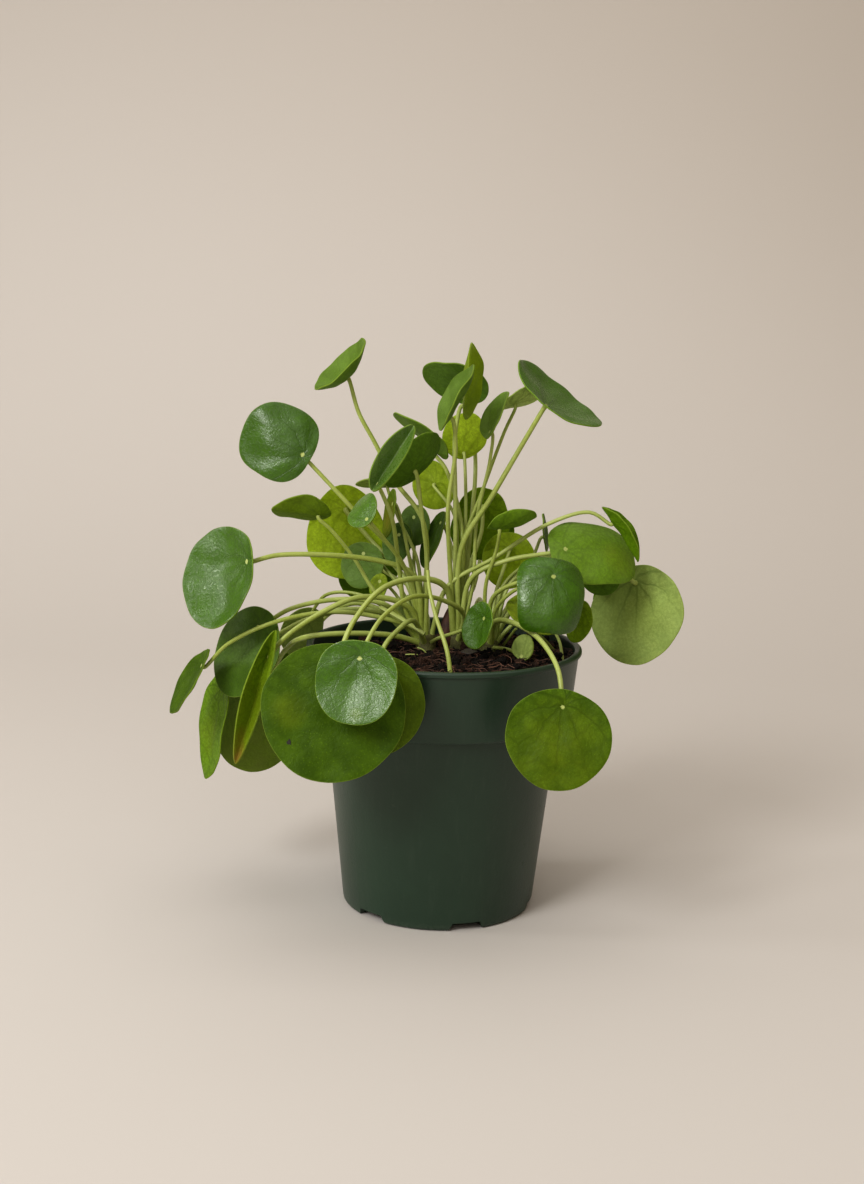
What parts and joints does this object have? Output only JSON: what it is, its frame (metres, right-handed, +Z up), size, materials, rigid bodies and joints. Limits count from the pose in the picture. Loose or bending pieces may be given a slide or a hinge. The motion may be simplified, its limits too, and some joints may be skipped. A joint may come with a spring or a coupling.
{
  "type": "potted pilea plant",
  "caption": "Pilea with round shield-shaped leaves on long arching stalks, rooted in potting mix in a plain tapered nursery pot with a stepped rim band.",
  "frame": {"origin": "middle of the pot's underside, on the surface the pot stands on", "axes": "+Z up out of the pot, -Y towards the plant's front, +X to the right as seen from the front"},
  "size_m": [0.2831, 0.2234, 0.3121],
  "materials": {
    "pot_plastic": "satin dark green injection-moulded plastic with faint scuffs",
    "potting_mix": "coarse moist bark and peat",
    "stalk": "smooth pale green plant stalk",
    "leaf_glossy": "glossy deep green upper side of a leaf",
    "leaf_mid": "satin mid green leaf",
    "leaf_olive": "satin olive green leaf",
    "leaf_lime": "yellow-green leaf with light shining through it",
    "leaf_pale": "matt pale green underside of a leaf with darker veins",
    "leaf_dark": "satin dark green leaf in shade"
  },
  "bodies": {
    "root": {"pot": "pot_plastic", "soil": "potting_mix", "stalks": "stalk", "bare_stalk": "stalk", "leaf_top_left": "leaf_mid", "leaf_high_left": "leaf_glossy", "leaf_level_left": "leaf_olive", "leaf_shiny_left": "leaf_glossy", "leaf_back_left": "leaf_lime", "leaf_glossy_fold": "leaf_glossy", "leaf_dark_under": "leaf_dark", "leaf_edge_top_left": "leaf_mid", "leaf_small_shiny": "leaf_glossy", "leaf_pale_tip": "leaf_pale", "leaf_brown_strip": "leaf_olive", "leaf_dark_behind_high": "leaf_dark", "leaf_dark_behind_low": "leaf_dark", "leaf_round_behind_left": "leaf_dark", "leaf_bright_low_left": "leaf_lime", "leaf_grey_low": "leaf_pale", "leaf_back_top": "leaf_dark", "leaf_grey_top": "leaf_mid", "leaf_upright_top": "leaf_lime", "leaf_lime_top": "leaf_lime", "leaf_cup_top": "leaf_mid", "leaf_light_top_right": "leaf_pale", "leaf_top_right": "leaf_glossy", "leaf_lime_behind": "leaf_lime", "leaf_dark_middle": "leaf_dark", "leaf_olive_behind": "leaf_olive", "leaf_light_level_right": "leaf_mid", "leaf_thin_edge_right": "leaf_dark", "leaf_large_behind": "leaf_lime", "leaf_broad_right": "leaf_mid", "leaf_folded_right": "leaf_mid", "leaf_pale_right": "leaf_pale", "leaf_under_right": "leaf_dark", "leaf_shiny_right": "leaf_glossy", "leaf_narrow_right": "leaf_olive", "leaf_under_shiny_right": "leaf_lime", "leaf_small_dark_front": "leaf_glossy", "leaf_on_soil": "leaf_pale", "leaf_front_right": "leaf_mid", "leaf_dark_left": "leaf_dark", "leaf_far_left": "leaf_mid", "leaf_long_left": "leaf_mid", "leaf_low_left": "leaf_olive", "leaf_folded_left": "leaf_olive", "leaf_pale_behind_left": "leaf_pale", "leaf_big_front_left": "leaf_mid", "leaf_shiny_front": "leaf_glossy", "leaf_behind_front_left": "leaf_olive", "leaf_rear_high": "leaf_mid", "leaf_rear_left": "leaf_mid", "leaf_rear_right": "leaf_mid", "leaf_rear_left_low": "leaf_olive", "leaf_rear_middle_low": "leaf_mid", "leaf_rear_right_low": "leaf_glossy", "leaf_rear_far_right": "leaf_olive"}
  },
  "joints": []
}
